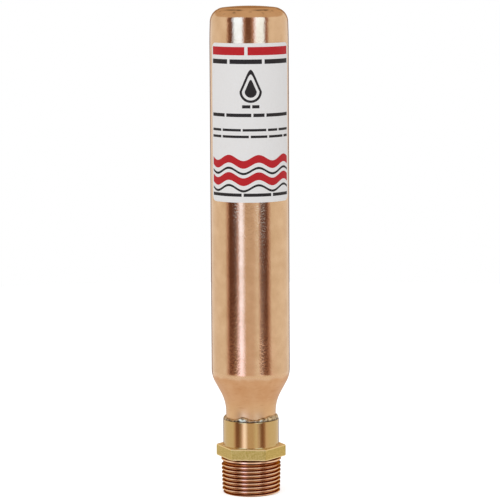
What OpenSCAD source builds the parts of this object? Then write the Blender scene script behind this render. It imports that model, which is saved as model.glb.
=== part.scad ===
// Water hammer arrestor, piston type, with a 3/4-14 male pipe thread.
// A copper tube, spun shut at the top and drawn down to a neck at the bottom, is
// soldered into a brass adapter. Inside, a sealed piston rides on a cushion of air.
// Millimetres. The origin is the middle of the threaded end, and +Z runs up the tube.

/* [Copper tube] */
// Height from the threaded end to the top of the closed end
overall_h = 217.5; // [180:0.5:300]
// Outside diameter of the barrel
barrel_d = 34.925; // [31:0.005:54]
// Wall of the tube
wall = 1.4; // [1:0.05:2]
// Radius of the rounded shoulder at the closed end
shoulder_r = 7; // [4:0.25:10]
// Radius of the crown across the closed end
crown_r = 100; // [40:5:300]
// Radius where the barrel turns into the bell
bell_upper_r = 12; // [6:0.5:16]
// Radius where the bell turns into the neck
bell_lower_r = 19; // [6:0.5:22]
// Slope of the bell's side, from the axis
bell_angle = 28.5; // [20:0.5:35]
// Outside diameter of the neck
neck_d = 22.225; // [16:0.005:24]
// Straight neck that shows between the bell and the adapter
neck_show = 3; // [2:0.25:20]

/* [Brass adapter] */
// Crest diameter of the pipe thread, at the middle of its taper
thread_d = 26.3; // [25.5:0.05:34]
// Length of the thread, from the open end to the hexagon
thread_l = 16.5; // [12:0.5:25]
// Threads to the inch
thread_tpi = 14; // [11.5, 14, 18]
// Depth of the thread, from its crests to its roots
thread_depth = 1.1; // [0.6:0.05:1.4]
// Width of the thread's crests
crest_w = 0.4; // [0.1:0.02:0.6]
// Width of the thread's roots
root_w = 0.26; // [0.06:0.02:0.3]
// Distance from the hexagon to the middle of the first groove
thread_runout = 2.5; // [1.6:0.1:5]
// Chamfer that leads into the thread
thread_chamfer = 0.8; // [0.5:0.1:2]
// Ledge at the bottom of the solder cup, where the neck stops
stop_ledge = 1.56; // [0.8:0.02:3]
// Chamfer at the mouth of the waterway
mouth_chamfer = 0.6; // [0.2:0.1:1.2]
// Height of the hexagon
hex_h = 5; // [3:0.25:10]
// Step out to the hexagon's flats, from the thread or the cup, whichever is wider
hex_step = 0.35; // [0.2:0.05:4]
// How far in from the hexagon's corners their chamfer starts, on its end faces
hex_corner_cut = 0.4; // [0.2:0.05:0.8]
// Slope of the chamfer on the hexagon's corners
hex_chamfer_angle = 30; // [10:1:45]
// Turn of the hexagon about the axis
hex_turn = -5; // [-30:1:30]
// Height of the solder cup above the hexagon
cup_h = 11.9; // [8:0.1:20]
// Wall of the solder cup
cup_wall = 1.24; // [0.8:0.02:2]
// Depth that the neck goes into the cup
cup_depth = 16; // [13:0.5:16.5]

/* [Solder] */
// Gap between the neck and the cup, which solder fills
solder_gap = 0.1; // [0.05:0.01:0.2]
// Height of the solder fillet on the neck, above the cup's rim
solder_rise = 1.2; // [0.6:0.1:2]

/* [Piston] */
// Clearance between the piston and the tube, at its side and at its seat
piston_gap = 0.2; // [0.1:0.05:0.5]
// Height of the piston's nose, from its water face to the bell's top
nose_h = 6.5; // [5.5:0.25:9]
// Height of each of the three lands beside the seals
land_h = 4; // [2:0.25:8]
// Thickness of the piston's floor
piston_floor = 4; // [2.5:0.25:7]
// Wall between the seal grooves and the piston's pocket
pocket_wall = 2.2; // [1.5:0.1:4]
// Radius at the bottom of the piston's pocket
pocket_r = 2; // [0.5:0.25:4]

/* [Seals] */
// Thickness of a ring seal before it is fitted
seal_d = 4; // [2:0.01:5]
// Squeeze on a seal in its groove, as a percentage of its thickness
seal_squeeze = 15; // [8:1:25]
// Room on each side of a seal in its groove
groove_room = 0.4; // [0.1:0.05:0.8]
// Clearance between a seal and what it touches
seal_gap = 0.03; // [0.01:0.01:0.1]

/* [Label] */
// Width of the label, measured round the tube
label_w = 42.4; // [20:0.2:80]
// Height of the label
label_h = 69.6; // [40:0.05:90]
// Distance from the closed end down to the label
label_drop = 15.7; // [10:0.1:40]
// Thickness of the label
label_t = 0.12; // [0.08:0.02:0.3]
// Layer of glue that holds the label off the tube
label_glue = 0.02; // [0.01:0.01:0.1]
// Radius of the label's corners
label_corner_r = 3; // [0.5:0.25:6]
// Turn of the label about the axis
label_turn = 2; // [-45:1:45]

/* [Hidden] */
$fn = 96;

// Millimetres in an inch
inch = 25.4;
// A cut runs this far past the face that it opens
over = 1;
// Steps in a short arc, such as those of the bell, and in the shoulder's quarter turn
arc_steps = 10;
shoulder_steps = 30;
// The angle at which the arc of a label's corner meets the label's edges
corner_meet = 12;
// The side of the part that faces the viewer, as an angle about the axis
front = -90;

barrel_r = barrel_d / 2;
neck_r = neck_d / 2;
bore_r = barrel_r - wall;

// Radii and levels of the adapter, from the open end up
thread_r = thread_d / 2;
thread_pitch = inch / thread_tpi;
thread_turns = floor((thread_l - thread_runout) / thread_pitch) + 1;
cup_in_r = neck_r + solder_gap;
cup_out_r = cup_in_r + cup_wall;
waterway_r = cup_in_r - stop_ledge;
hex_in_r = max(thread_r, cup_out_r) + hex_step;
hex_out_r = hex_in_r / cos(30);
hex_top = thread_l + hex_h;
cup_rim = hex_top + cup_h;
tube_stop = cup_rim - cup_depth;

// Levels of the bell. It is two arcs that meet a straight side, all tangent.
neck_top = cup_rim + neck_show;
bell_side = barrel_r - neck_r - (bell_upper_r + bell_lower_r) * (1 - cos(bell_angle));
bell_top = neck_top + (bell_upper_r + bell_lower_r) * sin(bell_angle) + bell_side / tan(bell_angle);

// The closed end is a shallow crown that is tangent to the shoulder's arc
shoulder_mid = barrel_r - shoulder_r;
shoulder_sweep = acos(shoulder_mid / (crown_r - shoulder_r));
shoulder_z = overall_h - crown_r + (crown_r - shoulder_r) * sin(shoulder_sweep);

// A fitted seal keeps its section's area: as it gets lower, it gets wider
seal_h = seal_d * (1 - seal_squeeze / 100);
seal_w = seal_h + PI / 4 * (seal_d * seal_d - seal_h * seal_h) / seal_h;

// Levels of the piston, from its water face up
groove_h = seal_w + 2 * groove_room;
groove_floor_r = bore_r - seal_h - 2 * seal_gap;
piston_bottom = bell_top - nose_h;
lower_groove = bell_top + land_h;
upper_groove = lower_groove + groove_h + land_h;
piston_top = upper_groove + groove_h + land_h;

// Points along an arc, from one angle to another
function arc(mid, radius, from, to, steps) = [
    for (i = [0 : steps])
        let (turn = from + (to - from) * i / steps)
            mid + radius * [cos(turn), sin(turn)]
];

function all_but_first(points) = [for (i = [1 : len(points) - 1]) points[i]];

function backwards(points) = [for (i = [len(points) - 1 : -1 : 0]) points[i]];

// The tube's side from the neck's end up to the top, drawn in by an inset.
// An inset of 0 is the outside, and the wall is the inside.
function tube_side(inset) = concat(
    [[neck_r - inset, tube_stop]],
    arc([neck_r + bell_lower_r, neck_top], bell_lower_r + inset, 180, 180 - bell_angle, arc_steps),
    arc([barrel_r - bell_upper_r, bell_top], bell_upper_r - inset, -bell_angle, 0, arc_steps),
    arc([shoulder_mid, shoulder_z], shoulder_r - inset, 0, shoulder_sweep, shoulder_steps),
    all_but_first(arc([0, overall_h - crown_r], crown_r - inset, shoulder_sweep, 90, arc_steps))
);

// One piece of copper tube, spun shut at the top and drawn to a neck at the bottom
module body_tube() {
    color("#d3a678")
        rotate_extrude()
            polygon(concat(tube_side(0), backwards(tube_side(wall))));
}

// A hexagon between two cones, which chamfer its corners at both ends
module hexagon() {
    end_r = hex_out_r - hex_corner_cut;
    cone_h = hex_h / 2;
    cone_r = end_r + cone_h / tan(hex_chamfer_angle);
    intersection() {
        rotate(front + hex_turn + 30) cylinder(r = hex_out_r, h = hex_h, $fn = 6);
        rotate_extrude()
            polygon([[0, 0], [end_r, 0], [cone_r, cone_h], [end_r, hex_h], [0, hex_h]]);
    }
}

// The section of the thread's grooves, from the hexagon down to the open end.
// Each turn is a ring, and the taper is left out, so that the crests lie on one cylinder.
module thread_grooves() {
    groove_w = thread_pitch - crest_w;
    groove = [
        [-thread_depth, -root_w / 2], [0, -groove_w / 2], [over, -groove_w / 2],
        [over, groove_w / 2], [0, groove_w / 2], [-thread_depth, root_w / 2]
    ];
    for (turn = [0 : thread_turns - 1])
        translate([thread_r, thread_l - thread_runout - turn * thread_pitch]) polygon(groove);
}

// The brass adapter: pipe thread, hexagon and solder cup in one turned and bored piece
module pipe_adapter() {
    hex_mid = thread_l + hex_h / 2;
    flare_r = waterway_r + mouth_chamfer;
    turned = [
        [0, 0], [thread_r - thread_chamfer, 0], [thread_r, thread_chamfer],
        [thread_r, hex_mid], [cup_out_r, hex_mid], [cup_out_r, cup_rim], [0, cup_rim]
    ];
    bored = [
        [0, -over], [flare_r + over, -over], [waterway_r, mouth_chamfer], [waterway_r, tube_stop],
        [cup_in_r, tube_stop], [cup_in_r, cup_rim + over], [0, cup_rim + over]
    ];
    color("#c9a45f")
        difference() {
            union() {
                rotate_extrude()
                    difference() {
                        polygon(turned);
                        thread_grooves();
                    }
                translate([0, 0, thread_l]) hexagon();
            }
            rotate_extrude() polygon(bored);
        }
}

// Solder: a film that fills the cup round the neck, and a hollow fillet on the cup's rim
module solder_joint() {
    fillet_w = cup_out_r - neck_r;
    fillet = [
        for (i = [0 : arc_steps])
            let (turn = 90 * i / arc_steps)
                [neck_r + fillet_w * (1 - sin(turn)), cup_rim + solder_rise * (1 - cos(turn))]
    ];
    color("#b9b5ab")
        rotate_extrude()
            polygon(concat([[neck_r, tube_stop], [cup_in_r, tube_stop], [cup_in_r, cup_rim]], fillet));
}

// The moulded piston. Its nose follows the bell, and its pocket is open to the air above.
module piston() {
    inner_r = groove_floor_r - pocket_wall;
    floor_z = piston_bottom + piston_floor;
    pocket_top = piston_top + over;
    pocket_arc = arc([inner_r - pocket_r, floor_z + pocket_r], pocket_r, -90, 0, arc_steps);
    color("#e8e4d8")
        rotate_extrude()
            difference() {
                intersection() {
                    polygon(concat([[0, tube_stop]], tube_side(wall + piston_gap)));
                    translate([0, piston_bottom]) square([barrel_r, piston_top - piston_bottom]);
                }
                for (groove = [lower_groove, upper_groove])
                    translate([groove_floor_r, groove]) square([barrel_r, groove_h]);
                polygon(concat([[0, floor_z]], pocket_arc, [[inner_r, pocket_top], [0, pocket_top]]));
            }
}

// A ring seal, flattened between its groove's floor and the tube
module seal(groove) {
    round_r = seal_h / 2;
    color("#232323")
        translate([0, 0, groove + groove_h / 2])
            rotate_extrude()
                translate([bore_r - seal_gap - round_r, 0]) {
                    for (side = [-1, 1])
                        translate([0, side * (seal_w / 2 - round_r)]) circle(round_r);
                    square([seal_h, seal_w - seal_h], center = true);
                }
}

module lower_seal() {
    seal(lower_groove);
}

module upper_seal() {
    seal(upper_groove);
}

// What is cut off to round one corner of the label, seen along the radius
module label_corner(side, top) {
    rotate([90, 0, 90])
        translate([0, 0, barrel_r - over])
            linear_extrude(2 * over)
                difference() {
                    scale([side, top]) square(label_corner_r + over);
                    circle(label_corner_r);
                }
}

// The label, wrapped on the barrel, with round corners
module label() {
    sweep = label_w / barrel_r * 180 / PI;
    corner_in = label_corner_r * cos(corner_meet);
    corner_turn = corner_in / barrel_r * 180 / PI;
    label_mid = overall_h - label_drop - label_h / 2;
    label_r = barrel_r + label_glue;
    color("#dbd8d4")
        rotate(front + label_turn)
            difference() {
                rotate(-sweep / 2)
                    rotate_extrude(angle = sweep)
                        translate([label_r, label_mid - label_h / 2]) square([label_t, label_h]);
                for (side = [-1, 1], top = [-1, 1])
                    rotate(side * (sweep / 2 - corner_turn))
                        translate([0, 0, label_mid + top * (label_h / 2 - corner_in)])
                            label_corner(side, top);
            }
}

body_tube();
pipe_adapter();
solder_joint();
piston();
lower_seal();
upper_seal();
label();
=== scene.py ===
# %% [markdown]
# # Dressing a water hammer arrestor
# This part is screwed into a water pipe. When a tap shuts fast, the rush of water pushes a piston
# against the air sealed inside the copper tube, and the pipe doesn't bang. The solids were built
# beforehand, at their real size. This lesson gives them finer meshes, real finishes and a studio.
# Every piece here is drawn in millimetres and brought to metres at its end.

# %% Load the solids as a fixed frame
import math

import bmesh
import bpy
from mathutils import Matrix, Quaternion, Vector, noise


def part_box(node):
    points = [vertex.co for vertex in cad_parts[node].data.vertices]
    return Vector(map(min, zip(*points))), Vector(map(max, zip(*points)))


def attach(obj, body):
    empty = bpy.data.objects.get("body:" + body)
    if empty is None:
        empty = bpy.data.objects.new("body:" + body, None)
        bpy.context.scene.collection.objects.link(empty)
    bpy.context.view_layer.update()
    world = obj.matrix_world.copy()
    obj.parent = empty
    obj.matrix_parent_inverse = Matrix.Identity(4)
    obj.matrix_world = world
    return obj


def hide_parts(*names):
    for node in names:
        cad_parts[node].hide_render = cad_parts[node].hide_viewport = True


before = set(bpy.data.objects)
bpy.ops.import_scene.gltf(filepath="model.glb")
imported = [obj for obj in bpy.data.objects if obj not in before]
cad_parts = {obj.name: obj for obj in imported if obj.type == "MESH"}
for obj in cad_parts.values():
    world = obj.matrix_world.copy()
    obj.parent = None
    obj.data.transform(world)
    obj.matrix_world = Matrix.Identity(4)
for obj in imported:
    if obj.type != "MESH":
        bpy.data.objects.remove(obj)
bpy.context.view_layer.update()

scene = bpy.context.scene
scene.view_settings.view_transform = "Standard"
print("solids:", ", ".join(sorted(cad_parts)))

# %% [markdown]
# ## The camera
# A product like this is photographed with a long lens from a little above, so that its sides stay
# parallel and its top just shows. The focal length is given in pixels of a 500 pixel picture, which
# is how it is measured from a photograph, and the sensor's width turns it into millimetres.
# The small roll leans the part as the photograph does.

# %% Set up the camera
PICTURE_PIXELS = 500
FOCAL_PIXELS = 2785
SENSOR_MM = 36
CAMERA_PLACE = Vector((0, -1.229, 0.2615))
CAMERA_AIM = Vector((-0.00005, 0, 0.1092))
CAMERA_ROLL = math.radians(-0.29)

camera_data = bpy.data.cameras.new("camera")
camera_data.sensor_width = SENSOR_MM
camera_data.lens = FOCAL_PIXELS * SENSOR_MM / PICTURE_PIXELS
camera = bpy.data.objects.new("camera", camera_data)
sight = (CAMERA_AIM - CAMERA_PLACE).to_track_quat("-Z", "Y")
camera.location = CAMERA_PLACE
camera.rotation_mode = "QUATERNION"
camera.rotation_quaternion = sight @ Quaternion((0, 0, 1), CAMERA_ROLL)
scene.collection.objects.link(camera)
scene.camera = camera
print(f"camera with a {camera_data.lens:.0f} mm lens")

# %% [markdown]
# ## Sizes from the frame
# The solids already know how wide and how high everything is, so the main sizes are read from
# their boxes. Only what a box can't tell, such as a radius inside an outline, is written down here.

# %% Read the main sizes
MM = 0.001


def box_mm(node):
    """Lowest and highest corner of a solid, in millimetres."""
    low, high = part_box(node)
    return low / MM, high / MM


tube_low, tube_high = box_mm("body_tube")
adapter_high = box_mm("pipe_adapter")[1]
solder_high = box_mm("solder_joint")[1]
label_low, label_high = box_mm("label")

BARREL_R = max(tube_high.x, tube_high.y)
TUBE_STOP = tube_low.z
TOP = tube_high.z
CUP_RIM = adapter_high.z
CUP_OUT_R = max(solder_high.x, solder_high.y)
NECK_R = 22.225 / 2
WALL = 1.4
SOLDER_GAP = 0.1
CUP_IN_R = NECK_R + SOLDER_GAP
print(f"barrel {2 * BARREL_R:.2f} mm wide, {TOP:.1f} mm high, cup rim at {CUP_RIM:.1f} mm")

# %% [markdown]
# ## A lathe made of operators
# Most of this part is round. A round piece can start from a cylinder that is cut and scaled, but its
# curves are then hard to place. A half section that is turned about the axis, as on a lathe, puts
# every radius where the drawing has it. The pen below starts at one vertex. Extruding that vertex
# draws a straight cut, and spinning it about a point draws an arc.

# %% Define the lathe
TURN_STEPS = 192
MERGE = 0.0005


def draw_section(start, *cuts):
    """Draw a half section: a cut is a point (r, z), or an arc (mid_r, mid_z, degrees, steps)."""
    bm = bmesh.new()
    tip = bmesh.ops.create_vert(bm, co=(start[0], 0, start[1]))["vert"][0]
    for cut in cuts:
        if len(cut) == 2:
            tip = bmesh.ops.extrude_vert_indiv(bm, verts=[tip])["verts"][0]
            tip.co = (cut[0], 0, cut[1])
        else:
            mid_r, mid_z, degrees, steps = cut
            swept = bmesh.ops.spin(bm, geom=[tip], cent=(mid_r, 0, mid_z), axis=(0, -1, 0),
                                   angle=math.radians(degrees), steps=steps)
            tip = next(part for part in swept["geom_last"] if isinstance(part, bmesh.types.BMVert))
    return bm


def turn_section(bm, steps=TURN_STEPS):
    """Turn a half section all the way round the axis."""
    bmesh.ops.spin(bm, geom=bm.verts[:] + bm.edges[:], cent=(0, 0, 0), axis=(0, 0, 1),
                   angle=2 * math.pi, steps=steps, use_merge=True)
    bmesh.ops.remove_doubles(bm, verts=bm.verts[:], dist=MERGE)
    bmesh.ops.recalc_face_normals(bm, faces=bm.faces[:])


def radius_and_angle(vert):
    """Where a vertex is round the axis."""
    return math.hypot(vert.co.x, vert.co.y), math.atan2(vert.co.y, vert.co.x)


def set_radius(vert, radius):
    """Move a vertex straight in or out, to a distance from the axis."""
    now = math.hypot(vert.co.x, vert.co.y)
    vert.co.x *= radius / now
    vert.co.y *= radius / now


def finish_piece(bm, name, body, replaced=(), sharp_degrees=35):
    """Make a piece of a bmesh drawn in millimetres, and tie it to the frame."""
    open_edges = sum(not edge.is_manifold for edge in bm.edges)
    bmesh.ops.scale(bm, vec=(MM, MM, MM), verts=bm.verts[:])
    mesh = bpy.data.meshes.new(name)
    bm.to_mesh(mesh)
    bm.free()
    mesh.shade_smooth()
    mesh.set_sharp_from_angle(angle=math.radians(sharp_degrees))
    piece = bpy.data.objects.new(name, mesh)
    scene.collection.objects.link(piece)
    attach(piece, body)
    if replaced:
        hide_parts(*replaced)
    mesh.calc_loop_triangles()
    print(f"{name}: {len(mesh.loop_triangles)} triangles, {open_edges} open edges")
    return piece


print("the lathe turns in", TURN_STEPS, "steps")

# %% [markdown]
# ## The copper tube
# One length of copper tube is spun shut at the top over a wheel and drawn down at the bottom through
# a die. The section runs from the axis down the inside, round the neck's end, and back up the
# outside to the axis. Both walls are in it, so the turned mesh is closed without a modifier.

# %% Turn the copper tube
SHOULDER_R = 6.5
CROWN_R = 100
BELL_UPPER_R = 12
BELL_LOWER_R = 19
BELL_ANGLE = 28.5
NECK_SHOW = 3
BELL_STEPS = 14
SHOULDER_STEPS = 80
CROWN_STEPS = 40
INNER_STEPS = 12
# The wheel also draws in the barrel's last stretch a little
SPUN_L = 17
SPUN_FROM = TOP - SPUN_L
SPUN_STEPS = 6

neck_top = CUP_RIM + NECK_SHOW
bell_cos = math.cos(math.radians(BELL_ANGLE))
bell_sin = math.sin(math.radians(BELL_ANGLE))
bell_side = BARREL_R - NECK_R - (BELL_UPPER_R + BELL_LOWER_R) * (1 - bell_cos)
BELL_TOP = neck_top + (BELL_UPPER_R + BELL_LOWER_R) * bell_sin + bell_side * bell_cos / bell_sin
shoulder_mid = BARREL_R - SHOULDER_R
crown_mid = TOP - CROWN_R
shoulder_sweep = math.acos(shoulder_mid / (CROWN_R - SHOULDER_R))
SHOULDER_Z = crown_mid + (CROWN_R - SHOULDER_R) * math.sin(shoulder_sweep)
shoulder_degrees = math.degrees(shoulder_sweep)
crown_degrees = 90 - shoulder_degrees
upper_mid_r = BARREL_R - BELL_UPPER_R
lower_mid_r = NECK_R + BELL_LOWER_R


def bell_upper_foot(radius):
    """Where the bell's upper arc ends on its straight side, for an arc of this radius."""
    return upper_mid_r + radius * bell_cos, BELL_TOP - radius * bell_sin


def bell_lower_head(radius):
    """Where the bell's straight side meets its lower arc, for an arc of this radius."""
    return lower_mid_r - radius * bell_cos, neck_top + radius * bell_sin


spun_step = (SHOULDER_Z - SPUN_FROM) / SPUN_STEPS
spun_cuts = [(BARREL_R, SPUN_FROM + spun_step * step) for step in range(SPUN_STEPS)]
tube_bm = draw_section(
    (0, TOP - WALL),
    (0, crown_mid, -crown_degrees, INNER_STEPS),
    (shoulder_mid, SHOULDER_Z, -shoulder_degrees, INNER_STEPS),
    (BARREL_R - WALL, SPUN_FROM),
    (BARREL_R - WALL, BELL_TOP),
    (upper_mid_r, BELL_TOP, -BELL_ANGLE, BELL_STEPS),
    bell_lower_head(BELL_LOWER_R + WALL),
    (lower_mid_r, neck_top, BELL_ANGLE, BELL_STEPS),
    (NECK_R - WALL, TUBE_STOP),
    (NECK_R, TUBE_STOP),
    (NECK_R, neck_top),
    (lower_mid_r, neck_top, -BELL_ANGLE, BELL_STEPS),
    bell_upper_foot(BELL_UPPER_R),
    (upper_mid_r, BELL_TOP, BELL_ANGLE, BELL_STEPS),
    *spun_cuts,
    (BARREL_R, SHOULDER_Z),
    (shoulder_mid, SHOULDER_Z, shoulder_degrees, SHOULDER_STEPS),
    (0, crown_mid, crown_degrees, CROWN_STEPS),
)
turn_section(tube_bm)
print(f"bell from {neck_top:.1f} to {BELL_TOP:.1f} mm, shoulder from {SHOULDER_Z:.1f} mm")

# %% [markdown]
# The wheel that spins a tube shut leaves marks: creases round the shoulder, a slightly uneven crown,
# and a dimple where the last of the opening closed. They are a few hundredths of a millimetre deep,
# but a polished surface shows them in its reflections. Noise that is read at the vertex's own place
# gives the same marks on every run. The creases are also painted dark, as painted shade, and
# some polishing grime is smudged beside them. How dark a vertex is painted is stored as an attribute
# of the mesh, and the copper reads it later.

# %% Mark the closed end
FRONT = math.radians(-90)
CREASE_R = 14.1
CREASE_WIDTH = 0.5
CREASE_DEPTH = 0.12
CREASE_WANDER = 0.3
CREASE_LOBES = 4.2
# Each crease: degrees from the front towards the right, half width in degrees, share of painted shade
CREASES = [(-33, 17, 0.75), (-19, 7, 0.9), (20, 12, 0.75), (31, 7, 0.9), (85, 20, 0.6), (150, 25, 0.6),
           (-100, 25, 0.6)]
SMUDGE_MM = 1.8
SMUDGE_FROM = 0.3
SMUDGE_SHARE = 1.1
SMUDGE_R = 15.2
SMUDGE_WIDTH = 0.9
SPUN_IN = 0.2
CROWN_WAVE = 0.03
CROWN_WAVE_MM = 5
DIMPLE_R = 1.6
DIMPLE_DEPTH = 0.06


def from_front(turn, degrees):
    """How many degrees an angle about the axis lies from a direction given from the front."""
    return (math.degrees(turn - FRONT) - degrees + 180) % 360 - 180


tube_bm.normal_update()
grime_and_crease_shade = tube_bm.verts.layers.float.new("grime_and_crease_shade")
for vert in tube_bm.verts:
    r, turn = radius_and_angle(vert)
    spun = min(1, max(0, (vert.co.z - SPUN_FROM) / (SHOULDER_Z - SPUN_FROM)))
    if r > MERGE:
        set_radius(vert, r - SPUN_IN * spun * spun * r / BARREL_R)
    if vert.co.z < SHOULDER_Z or vert.normal.z < 0:
        continue
    round_place = Vector((math.cos(turn), math.sin(turn), 0))
    crease_r = CREASE_R + CREASE_WANDER * noise.noise(round_place * CREASE_LOBES)
    kept = max(share * math.exp(-(from_front(turn, place) / half) ** 2) for place, half, share in CREASES)
    in_crease = kept * math.exp(-((r - crease_r) / CREASE_WIDTH) ** 2)
    near_crease = math.exp(-((r - SMUDGE_R) / SMUDGE_WIDTH) ** 2)
    smudged = SMUDGE_SHARE * near_crease * max(0, noise.noise(vert.co / SMUDGE_MM) - SMUDGE_FROM)
    # Painted shade in the crease, with the grime smudged beside it
    vert[grime_and_crease_shade] = min(1, in_crease + smudged)
    drop = CREASE_DEPTH * in_crease
    if r < DIMPLE_R:
        drop += DIMPLE_DEPTH * (1 + math.cos(math.pi * r / DIMPLE_R)) / 2
    fade = min(1, max(0, 1 - r / CREASE_R))
    drop += CROWN_WAVE * fade * (1 + noise.noise(vert.co / CROWN_WAVE_MM)) / 2
    vert.co -= vert.normal * drop

copper_tube = finish_piece(tube_bm, "copper_tube", "shell", ["body_tube"])

# %% [markdown]
# ## The brass adapter: cup and hexagon
# The adapter is turned from hexagonal brass bar. The lathe leaves the bar's flats standing between
# two end faces, takes a little off the corners, and turns the rest round. Here it goes the other way
# about: the section is turned with the hexagon's corner radius, and then every vertex outside the
# flats is brought in to them, as if milled. A ring that the flats pass inside falls together
# with its neighbour there, and merging the doubles leaves one edge.

# %% Turn the cup and the hexagon
THREAD_L = 16.5
HEX_H = 5
HEX_TOP = THREAD_L + HEX_H
FLAT_TURN = math.radians(60)
HEX_IN_R = 13.5
HEX_OUT_R = HEX_IN_R / math.cos(FLAT_TURN / 2)
CORNER_CUT = 0.4
HEX_END_R = HEX_OUT_R - CORNER_CUT
CORNER_SLOPE = math.tan(math.radians(30))
HEX_FRONT = math.radians(-95)
HEX_SEAT_R = 13.4
TUBE_LEDGE = 1.56
WATERWAY_R = CUP_IN_R - TUBE_LEDGE
MOUTH_CHAMFER = 0.6
CUP_FILLET = 0.35
RIM_ROUND = 0.3
ROUND_STEPS = 8
# A cut this close to a round keeps the long wall beside it straight in the shading
HOLD = 0.1

corner_drop = (HEX_OUT_R - HEX_END_R) * CORNER_SLOPE
adapter_bm = draw_section(
    (HEX_SEAT_R, THREAD_L),
    (HEX_END_R, THREAD_L),
    (HEX_OUT_R, THREAD_L + corner_drop),
    (HEX_OUT_R, HEX_TOP - corner_drop),
    (HEX_END_R, HEX_TOP),
    (CUP_OUT_R + CUP_FILLET, HEX_TOP),
    (CUP_OUT_R + CUP_FILLET, HEX_TOP + CUP_FILLET, -90, ROUND_STEPS),
    (CUP_OUT_R, HEX_TOP + CUP_FILLET + HOLD),
    (CUP_OUT_R, CUP_RIM - RIM_ROUND - HOLD),
    (CUP_OUT_R, CUP_RIM - RIM_ROUND),
    (CUP_OUT_R - RIM_ROUND, CUP_RIM - RIM_ROUND, 90, ROUND_STEPS),
    (CUP_IN_R, CUP_RIM),
    (CUP_IN_R, TUBE_STOP),
    (WATERWAY_R, TUBE_STOP),
    (WATERWAY_R, MOUTH_CHAMFER),
    (WATERWAY_R + MOUTH_CHAMFER, 0),
)
turn_section(adapter_bm)
print(f"cup {2 * CUP_OUT_R:.1f} mm wide, waterway {2 * WATERWAY_R:.1f} mm wide")

# %% Mill the flats and soften their edges
HEX_EDGE = 0.09
SOFT_EDGE_ANGLE = math.radians(40)
hex_mid = (THREAD_L + HEX_TOP) / 2
for vert in adapter_bm.verts:
    r, turn = radius_and_angle(vert)
    if r < HEX_IN_R:
        continue
    from_flat = (turn % FLAT_TURN) - FLAT_TURN / 2
    flat_r = min(r, HEX_IN_R / math.cos(from_flat))
    set_radius(vert, flat_r)
    end_z = HEX_TOP if vert.co.z > hex_mid else THREAD_L
    inward = math.copysign(1, hex_mid - end_z)
    vert.co.z = end_z + inward * max(0, flat_r - HEX_END_R) * CORNER_SLOPE
bmesh.ops.remove_doubles(adapter_bm, verts=adapter_bm.verts[:], dist=MERGE)
bmesh.ops.recalc_face_normals(adapter_bm, faces=adapter_bm.faces[:])
adapter_bm.normal_update()

hex_edges = [
    edge for edge in adapter_bm.edges
    if min(radius_and_angle(vert)[0] for vert in edge.verts) > HEX_IN_R - MERGE
    and edge.is_manifold and edge.calc_face_angle() > SOFT_EDGE_ANGLE
]
bmesh.ops.bevel(adapter_bm, geom=hex_edges, offset=HEX_EDGE, affect="EDGES", segments=2,
                profile=0.5, material=-1, clamp_overlap=True)
print(f"hexagon {2 * HEX_IN_R:.0f} mm across its flats, {len(hex_edges)} edges softened")

# %% [markdown]
# ## The brass adapter: pipe thread
# A pipe thread is one groove that winds up a cone. A screw of this kind could come from a Screw
# modifier, but an operator keeps it in the same mesh. A section of many teeth is spun once while it
# climbs by one pitch, so each tooth ends where the next one starts, and merging the doubles closes
# the groove. After that come the taper, the undercuts under the hexagon, where the thread ends, and the
# chamfer that leads into the pipe.

# %% Cut the thread
PITCH = 25.4 / 14
TOOTH_DEPTH = 1.1
CREST_FLAT = 0.4
ROOT_FLAT = 0.26
CREST_MID_R = 13.15
TAPER = 1 / 32
THREAD_STEPS = 144
TOOTH_CUTS = 2
RUNOUT_START = 14.3
RUNOUT_END = 15.0
# Each undercut: the levels of its lower edge, its deepest line and its upper edge
UNDERCUTS = [(13.3, 14.2, 15.05), (15.65, 16.4, 17.2)]
UNDERCUT_SHADE = 0.35
TIP_R = 12.35
# How high a crest stands in the middle of the front
CREST_FRONT_Z = 13.1
# Teeth that start below the end and are cut off there
SPARE_TEETH = 3

teeth = math.ceil(THREAD_L / PITCH) + SPARE_TEETH + 1
CREST_TOP_R = CREST_MID_R + TAPER * THREAD_L / 2
flank = (PITCH - CREST_FLAT - ROOT_FLAT) / 2
root_r = CREST_TOP_R - TOOTH_DEPTH
hex_turn = HEX_FRONT - FLAT_TURN / 2
front_turns = (FRONT - hex_turn) / (2 * math.pi)
first_crest = CREST_FRONT_Z - front_turns * PITCH
thread_start = (first_crest - ROOT_FLAT - flank - CREST_FLAT / 2) % PITCH - SPARE_TEETH * PITCH
tooth_cuts = []
for tooth in range(teeth):
    foot = thread_start + tooth * PITCH
    tooth_cuts.append((root_r, foot + ROOT_FLAT))
    tooth_cuts.append((CREST_TOP_R, foot + ROOT_FLAT + flank))
    tooth_cuts.append((CREST_TOP_R, foot + ROOT_FLAT + flank + CREST_FLAT))
    tooth_cuts.append((root_r, foot + PITCH))
thread_bm = draw_section((root_r, thread_start), *tooth_cuts)
bmesh.ops.subdivide_edges(thread_bm, edges=thread_bm.edges[:], cuts=TOOTH_CUTS)
bmesh.ops.spin(thread_bm, geom=thread_bm.verts[:] + thread_bm.edges[:], cent=(0, 0, 0), axis=(0, 0, 1),
               dvec=(0, 0, PITCH / THREAD_STEPS), angle=2 * math.pi, steps=THREAD_STEPS)
bmesh.ops.remove_doubles(thread_bm, verts=thread_bm.verts[:], dist=MERGE)
for level in (0, THREAD_L, *(level for undercut in UNDERCUTS for level in undercut)):
    bmesh.ops.bisect_plane(thread_bm, geom=thread_bm.verts[:] + thread_bm.edges[:] + thread_bm.faces[:],
                           dist=MERGE, plane_co=(0, 0, level), plane_no=(0, 0, 1),
                           clear_inner=level == 0, clear_outer=level == THREAD_L)
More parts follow.
